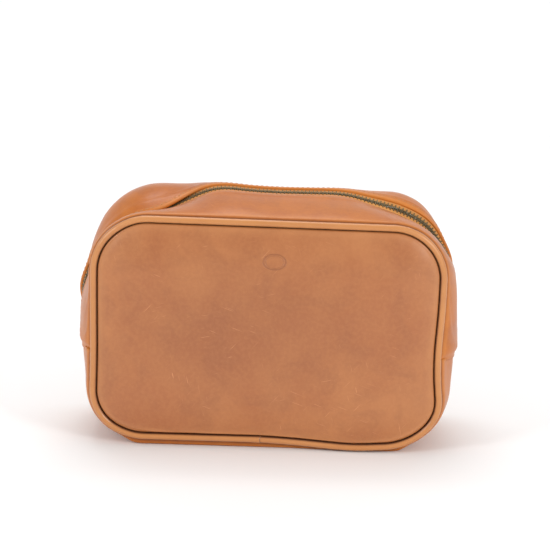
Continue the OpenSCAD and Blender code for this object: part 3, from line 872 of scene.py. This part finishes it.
class WASHBAG_OT_bottom_gusset(bpy.types.Operator):
    """Build the strip that runs under the bag and up both sides"""

    bl_idname = "washbag.bottom_gusset"
    bl_label = "Bottom gusset"

    def execute(self, context):
        form = Form()
        reach = form.zip_from
        s = np.linspace(-reach + 0.1, reach - 0.1, 230)[:, None]
        seam_y = form.seam - form.pipe - SEAM_GAP
        half = seam_y * (1 - np.concatenate([[0.0, 0.012, 0.03, 0.055, 0.085], np.linspace(0.12, 1.0, 16)]))
        y = np.concatenate([-half, half[-2::-1]])[None]
        grid = bottom_strip(form, s, y)
        lip = np.array(LIP_OUT)
        lip_y = form.seam - form.pipe - np.array([0.2, -0.02, 0.1])
        front = form.place(s, -lip_y[None], lip[None])
        back = form.place(s, lip_y[None, ::-1], lip[None, ::-1])
        grid = np.concatenate([front, grid, back], 1)
        rows, columns = grid.shape[:2]
        v = np.abs(np.concatenate([[-seam_y] * 3, y[0], [seam_y] * 3])) / seam_y
        # Painted shade where the strip turns into the seams.
        groove = np.broadcast_to(np.clip((v - 0.984) / 0.016, 0, 1) * 0.9, (rows, columns))
        end = np.minimum(s + reach, reach - s)
        # Paler on the ridges beside the seams and at the strip's ends: rubbing, and a painted highlight.
        rubbed_and_sheen = 0.5 * np.exp(-((v - 0.95) / 0.03) ** 2)[None] + 0.7 * np.exp(-end / 1.5)
        thick = form.t + 0.5 * np.exp(-end / 3) + 0 * v[None]
        SHEETS["bottom_gusset_leather"] = grid
        obj = band("bottom_gusset_leather", grid, thick, -1, {"groove": groove, "rubbed_and_sheen": np.clip(rubbed_and_sheen, 0, 1)})
        dressed(obj, "gusset_leather", "tan_leather", "bottom_gusset")
        turned([obj], REAR)
        return {"FINISHED"}


# ------------------------------------------------------------------ zip
def chain_path(form):
    """Positions along the zip and the real length up to each."""
    s = np.linspace(form.zip_from, form.zip_to, 1500)
    p = form.place(s, *form.on_zip(s, 0.0, 0.0))
    return s, np.concatenate([[0], np.cumsum(np.linalg.norm(np.diff(p, axis=0), axis=-1))])


class WASHBAG_OT_zip_tapes(bpy.types.Operator):
    """Build the two woven zip tapes"""

    bl_idname = "washbag.zip_tapes"
    bl_label = "Zip tapes"

    def execute(self, context):
        form = Form()
        t = sizes().tape / MM
        for side, label in ((-1, "front"), (1, "rear")):
            s = zip_stations(form, 1.5, 1.0)[:, None]
            depth = np.linspace(1.4, form.zip_half, 7)[None]
            y, out = form.on_zip(s, side * depth, t / 2)
            under = np.linspace(1.0, 8.4, 6)[None]
            hidden_y, hidden_out = form.gusset(s, 1 - under / 33, side, lapped=False)
            hidden_out = hidden_out - form.t - 0.1 - 0.9 * smooth(under / 4) * 0.6
            grid = form.place(s, np.concatenate([y, hidden_y], 1), np.concatenate([out, hidden_out], 1))
            width = np.concatenate([depth, form.zip_half + under], 1)
            cut = np.stack(np.broadcast_arrays(s, width, 0.0), -1)
            obj = band(f"{label}_woven_tape", grid, t, -side, {"cut": cut}, 3)
            dressed(obj, "tape_cloth", "tape_cloth", f"{label}_zip_tape")
            turned([obj], REAR if side > 0 else None)
        return {"FINISHED"}


def tooth_shape():
    """One cast tooth: a head past the middle of the chain, a waist, and legs over the tape."""
    h, w = 1.0, 0.42
    outline = [(-1.15, 0.32), (-0.85, 0.46), (-0.30, 0.48), (0.15, 0.34), (0.75, 0.34), (1.2, w),
               (2.2, w), (2.5, 0.34)]
    points, faces = [], []
    for y, half in outline:
        rise = h * (0.72 if y < -1.1 or y > 3.0 else 1.0)
        points += [(-half, y, -rise), (half, y, -rise), (half, y, rise), (-half, y, rise)]
    for i in range(len(outline) - 1):
        o = 4 * i
        faces += [(o + j, o + (j + 1) % 4, o + 4 + (j + 1) % 4, o + 4 + j) for j in range(4)]
    faces += [(0, 1, 2, 3), tuple(4 * len(outline) - 4 + j for j in range(4))]
    return np.array(points), faces


class WASHBAG_OT_zip_teeth(bpy.types.Operator):
    """Build the two rows of zip teeth"""

    bl_idname = "washbag.zip_teeth"
    bl_label = "Zip teeth"

    def execute(self, context):
        form = Form()
        s, length = chain_path(form)
        pitch = sizes().tooth_pitch / MM
        shape, faces = tooth_shape()
        first = SLIDER_HIGH.z / MM - (SLIDER_HIGH.z - SLIDER_LOW.z) / MM / 2 - form.zip_end
        for side, label, start in ((-1, "front", FRONT_TOOTH), (1, "rear", REAR_TOOTH)):
            at = np.arange(first + start * pitch, length[-1] - 5.5, pitch)
            where = np.interp(at, length, s)
            step = np.interp(at + 0.5, length, s) - where
            stretch = (step / 0.5)[:, None]
            local_s = where[:, None] + shape[None, :, 0] * stretch
            points = form.place(local_s, *form.on_zip(local_s, side * shape[None, :, 1], shape[None, :, 2]))
            n = len(shape)
            every = [tuple(k * n + i for i in f) for k in range(len(at)) for f in faces]
            obj = piece(f"{label}_brass_teeth", points.reshape(-1, 3), every)
            obj.data.polygons.foreach_set("use_smooth", [False] * len(obj.data.polygons))
            dressed(obj, "brass", "brass", f"{label}_zip_teeth")
            turned([obj], REAR if side > 0 else None)
        return {"FINISHED"}


class WASHBAG_OT_zip_metal(bpy.types.Operator):
    """Give the slider, its pull and the stops their antique brass finish"""

    bl_idname = "washbag.zip_metal"
    bl_label = "Slider, pull and stops"

    def execute(self, context):
        for name in ("slider_body", "slider_pull", "front_top_stop", "rear_top_stop", "bottom_stop"):
            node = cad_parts[name]
            node.data.materials.clear()
            node.data.materials.append(material("brass"))
        return {"FINISHED"}


# ------------------------------------------------------------------ stitching
def stitch_bars(name, starts, ends, ups, radius, finish, slot, *nodes):
    """Short rounded stitches from start to end points, each humped a little off the leather."""
    along_way = ends - starts
    length = np.linalg.norm(along_way, axis=-1, keepdims=True)
    along_way = along_way / length
    across = np.cross(along_way, ups)
    across /= np.linalg.norm(across, axis=-1, keepdims=True)
    stations = ((0.0, -0.7, 0.25), (0.10, -0.3, 0.8), (0.3, 0.0, 1.0), (0.5, 0.08, 1.0), (0.7, 0.0, 1.0),
                (0.90, -0.3, 0.8), (1.0, -0.7, 0.25))
    sides = 8
    phi = np.linspace(0, 2 * math.pi, sides, endpoint=False)
    rings = []
    for t, lift, thick in stations:
        mid = starts + along_way * length * t + ups * radius * lift
        ring = mid[:, None] + radius * thick * (across[:, None] * np.cos(phi)[None, :, None] * 1.1
                                                + ups[:, None] * np.sin(phi)[None, :, None] * 0.8)
        rings.append(ring)
    points = np.stack(rings, 1)
    count, k = len(starts), len(stations)
    faces = []
    for c in range(count):
        o = c * k * sides
        for i in range(k - 1):
            faces += [(o + i * sides + j, o + (i + 1) * sides + j, o + (i + 1) * sides + (j + 1) % sides,
                       o + i * sides + (j + 1) % sides) for j in range(sides)]
        faces += [list(range(o, o + sides)), list(range(o + (k - 1) * sides, o + k * sides))]
    obj = piece(name, points.reshape(-1, 3), faces)
    return dressed(obj, finish, slot, *nodes)


def on_sheet(grid, row, column):
    """Points and normals of a sheet between its rows and columns."""
    i = np.clip(np.floor(row).astype(int), 0, grid.shape[0] - 2)
    j = np.clip(np.floor(column).astype(int), 0, grid.shape[1] - 2)
    a, b = (row - i)[:, None], (column - j)[:, None]
    found = []
    for field in (grid, surface_normals(grid)):
        found.append((field[i, j] * (1 - a) + field[i + 1, j] * a) * (1 - b)
                     + (field[i, j + 1] * (1 - a) + field[i + 1, j + 1] * a) * b)
    return found


def sewn_row(grid, rows, columns, flip):
    """Starts, ends and directions off the leather of the stitches between neighbouring places."""
    (a, na), (b, nb) = (on_sheet(grid, r, c) for r, c in zip(rows, columns))
    ups = flip * (na + nb)
    return a, b, ups / np.linalg.norm(ups, axis=-1, keepdims=True)


class WASHBAG_OT_stitching(bpy.types.Operator):
    """Sew the zip edges, the gusset's ends and the piped seams"""

    bl_idname = "washbag.stitching"
    bl_label = "Stitching"

    def execute(self, context):
        if len(SHEETS) < 3:
            raise RuntimeError("The zip gusset and the bottom gusset come before the stitching")
        form = Form()
        pitch, radius = sizes().stitch_pitch / MM, sizes().thread / MM / 2
        for side, label in ((-1, "front"), (1, "rear")):
            grid = SHEETS[f"{label}_gusset_leather"]
            step = np.linalg.norm(np.diff(grid, axis=1), axis=-1)[:, ::-1]
            gone = np.concatenate([np.zeros((len(grid), 1)), np.cumsum(step, axis=1)], 1)
            column = np.array([np.interp(STITCH_INSET, row, np.arange(grid.shape[1])) for row in gone])
            column = grid.shape[1] - 1 - column
            edge = np.concatenate([[0], np.cumsum(np.linalg.norm(np.diff(grid[:, -1], axis=0), axis=-1))])
            at = np.arange(6.5, edge[-1] - 8.0, pitch)
            rows = [np.interp(k, edge, np.arange(len(edge))) for k in (at, at + STITCH_SHARE * pitch)]
            columns = [np.interp(r, np.arange(len(edge)), column) for r in rows]
            obj = stitch_bars(f"{label}_zip_thread", *sewn_row(grid, rows, columns, side), radius,
                              "thread", "thread", f"{label}_zip_stitching")
            turned([obj], REAR if side > 0 else None)
        grid = SHEETS["bottom_gusset_leather"]
        count, middle = len(grid), grid.shape[1] // 2
        across = np.concatenate([[0], np.cumsum(np.linalg.norm(np.diff(grid[2], axis=0), axis=-1))])
        at = np.arange(6.0, across[-1] - 8.0, pitch)
        columns = [np.interp(k, across, np.arange(len(across))) for k in (at, at + STITCH_SHARE * pitch)]
        parts = []
        inset = STITCH_INSET / np.linalg.norm(grid[1, middle] - grid[0, middle])
        for row in (inset, count - 1 - inset):
            parts.append(sewn_row(grid, [np.full(len(at), row)] * 2, columns, -1))
        obj = stitch_bars("gusset_end_thread", *(np.concatenate(k) for k in zip(*parts)), radius,
                          "thread", "thread", "gusset_end_stitching")
        turned([obj], REAR)
        for side, label, node in ((-1, "front", "front_seam_stitching"), (1, "back", "back_seam_stitching")):
            s = np.arange(0, form.round - pitch, pitch)
            y = np.full_like(s, side * (form.seam - 2.3))
            a = form.place(s, y, -7.0 + 0 * s)
            b = form.place(s + STITCH_SHARE * pitch, y, -7.0 + 0 * s)
            ups = np.tile([0.0, -side, 0.0], (len(s), 1))
            obj = stitch_bars(f"{label}_seam_thread", a, b, ups, radius * 0.8, "thread", "thread", node)
            turned([obj], REAR if side > 0 else None)
        return {"FINISHED"}


# ------------------------------------------------------------------ lining
class WASHBAG_OT_lining(bpy.types.Operator):
    """Build the lining: two panels, two strips beside the zip and one round the base"""

    bl_idname = "washbag.lining"
    bl_label = "Lining"

    def execute(self, context):
        form = Form()
        t = 0.5
        for side, label, node in ((-1, "front", "front_lining"), (1, "back", "back_lining")):
            flat, inset, faces, rim = panel_sheet(form, 9.0, (7.5, 6.2, 5.2))
            belly = smooth((inset - 6) / 40)
            points = np.stack([flat[:, 0], side * (form.seam - 3.9 - 0.8 * belly), flat[:, 1]], -1)
            points[:, 1] -= side * 0.5 * belly * ripple(points, 34, 51)
            points = settle(points)
            faces = [tuple(reversed(f)) for f in faces] if side > 0 else faces
            cut = np.stack([points[:, 0], points[:, 2], 0 * points[:, 0]], -1)
            obj = thicken(f"{label}_lining_panel", points, faces, list(rim), t, {"cut": cut})
            dressed(obj, "lining_cloth", "lining_cloth", node)
            turned([obj], REAR if side > 0 else None)
        for side, label in ((-1, "front"), (1, "rear")):
            s = zip_stations(form, 2.5, -0.5)[:, None]
            u = np.linspace(0.08, 1.0, 22)[None]
            y, out = form.gusset(s, u, side, lapped=False)
            drop = 2.9 + 1.0 * smooth((u - 0.7) / 0.2)
            y = y + side * -1.2 * smooth((u - 0.9) / 0.1)
            grid = form.place(s, y, out - drop)
            cut = np.stack(np.broadcast_arrays(s, y, 0.0), -1)
            obj = band(f"{label}_lining_strip", grid, t, side, {"cut": cut}, 2)
            dressed(obj, "lining_cloth", "lining_cloth", f"{label}_top_lining")
            turned([obj], REAR if side > 0 else None)
        reach = form.zip_from - 2
        s = np.linspace(-reach, reach, 130)[:, None]
        y = np.linspace(-form.seam + 4.4, form.seam - 4.4, 27)[None]
        grid = bottom_strip(form, s, y, 2.2)
        cut = np.stack(np.broadcast_arrays(s, y, 0.0), -1)
        obj = band("base_lining_strip", grid, t, -1, {"cut": cut}, 2)
        dressed(obj, "lining_cloth", "lining_cloth", "bottom_lining")
        turned([obj], REAR)
        return {"FINISHED"}


# ------------------------------------------------------------------ stage
class WASHBAG_OT_stage(bpy.types.Operator):
    """Set the pale floor, the soft lights and the camera"""

    bl_idname = "washbag.stage"
    bl_label = "Floor, lights and camera"

    def execute(self, context):
        scene = context.scene
        scene.view_settings.view_transform = "Standard"
        floor_mesh = bpy.data.meshes.new("studio_floor")
        run = [(-1.6, 0.0), (0.9, 0.0)] + [(0.9 + 0.6 * math.sin(a), 0.6 - 0.6 * math.cos(a))
                                           for a in np.linspace(0.1, math.pi / 2, 12)] + [(1.5, 3.0)]
        points = [(x, y, z) for y, z in run for x in (-3.0, 3.0)]
        faces = [(2 * i, 2 * i + 1, 2 * i + 3, 2 * i + 2) for i in range(len(run) - 1)]
        floor_mesh.from_pydata(points, [], faces)
        floor_mesh.polygons.foreach_set("use_smooth", [True] * len(faces))
        floor = bpy.data.objects.new("studio_floor", floor_mesh)
        context.collection.objects.link(floor)
        paper = Finish("studio_paper")
        floor_mesh.materials.append(paper.finish(Base_Color=(0.93, 0.93, 0.93, 1.0), Roughness=0.9))
        world = bpy.data.worlds.new("studio")
        world.use_nodes = True
        world.node_tree.nodes["Background"].inputs["Color"].default_value = (1.0, 1.0, 1.0, 1.0)
        world.node_tree.nodes["Background"].inputs["Strength"].default_value = 0.58
        scene.world = world
        bag, sweep = (0, 0, 0.08), (0, 1.3, 0.5)
        for name, place, size, power, target in (
            ("left_softbox", (-0.95, -0.75, 0.62), 0.36, 5.2, bag),
            ("right_softbox", (0.85, -0.85, 0.55), 0.36, 6.0, bag),
            ("top_softbox", (-0.1, 0.25, 1.4), 0.7, 4.6, bag),
            ("sweep_softbox", (0.0, 0.35, 1.1), 0.8, 4.6, sweep),
        ):
            lamp = bpy.data.lights.new(name, "AREA")
            lamp.energy, lamp.size = power, size
            light = bpy.data.objects.new(name, lamp)
            context.collection.objects.link(light)
            light.location = place
            aim = Vector(target) - Vector(place)
            light.rotation_euler = aim.to_track_quat("-Z", "Y").to_euler()
        camera_data = bpy.data.cameras.new("camera")
        camera_data.lens, camera_data.sensor_width = 112.0, 36.0
        camera = bpy.data.objects.new("camera", camera_data)
        context.collection.objects.link(camera)
        target = Vector((0.0040, -0.042, 0.1180))
        rise, turn, distance = math.radians(13.5), math.radians(0.0), 1.10
        away = Vector((math.sin(turn) * math.cos(rise), -math.cos(turn) * math.cos(rise), math.sin(rise)))
        camera.location = target + away * distance
        look = (-away).to_track_quat("-Z", "Y").to_matrix().to_4x4()
        camera.rotation_euler = look.to_euler()
        camera.rotation_euler.rotate_axis("Z", math.radians(1.7))
        scene.camera = camera
        return {"FINISHED"}


class WASHBAG_PT_panel(bpy.types.Panel):
    """Build steps and settings of the wash bag"""

    bl_label = "Wash bag"
    bl_idname = "WASHBAG_PT_panel"
    bl_space_type = "VIEW_3D"
    bl_region_type = "UI"
    bl_category = "Wash bag"

    def draw(self, context):
        for operator in STEPS:
            self.layout.operator(operator.bl_idname)
        for group in (context.scene.wash_bag_sizes, context.scene.wash_bag_colours):
            for name in group.__annotations__:
                self.layout.prop(group, name)


STEPS = (
    WASHBAG_OT_stage, WASHBAG_OT_panels, WASHBAG_OT_piping, WASHBAG_OT_zip_gusset, WASHBAG_OT_bottom_gusset,
    WASHBAG_OT_zip_tapes, WASHBAG_OT_zip_teeth, WASHBAG_OT_zip_metal, WASHBAG_OT_stitching, WASHBAG_OT_lining,
)
CLASSES = (WashBagSizes, WashBagColours, *STEPS, WASHBAG_PT_panel)


def register():
    for made in CLASSES:
        bpy.utils.register_class(made)
    bpy.types.Scene.wash_bag_sizes = PointerProperty(type=WashBagSizes)
    bpy.types.Scene.wash_bag_colours = PointerProperty(type=WashBagColours)


def unregister():
    del bpy.types.Scene.wash_bag_colours
    del bpy.types.Scene.wash_bag_sizes
    for made in reversed(CLASSES):
        bpy.utils.unregister_class(made)


def main():
    register()
    for step in STEPS:
        group, name = step.bl_idname.split(".")
        getattr(getattr(bpy.ops, group), name)()


if __name__ == "__main__":
    main()
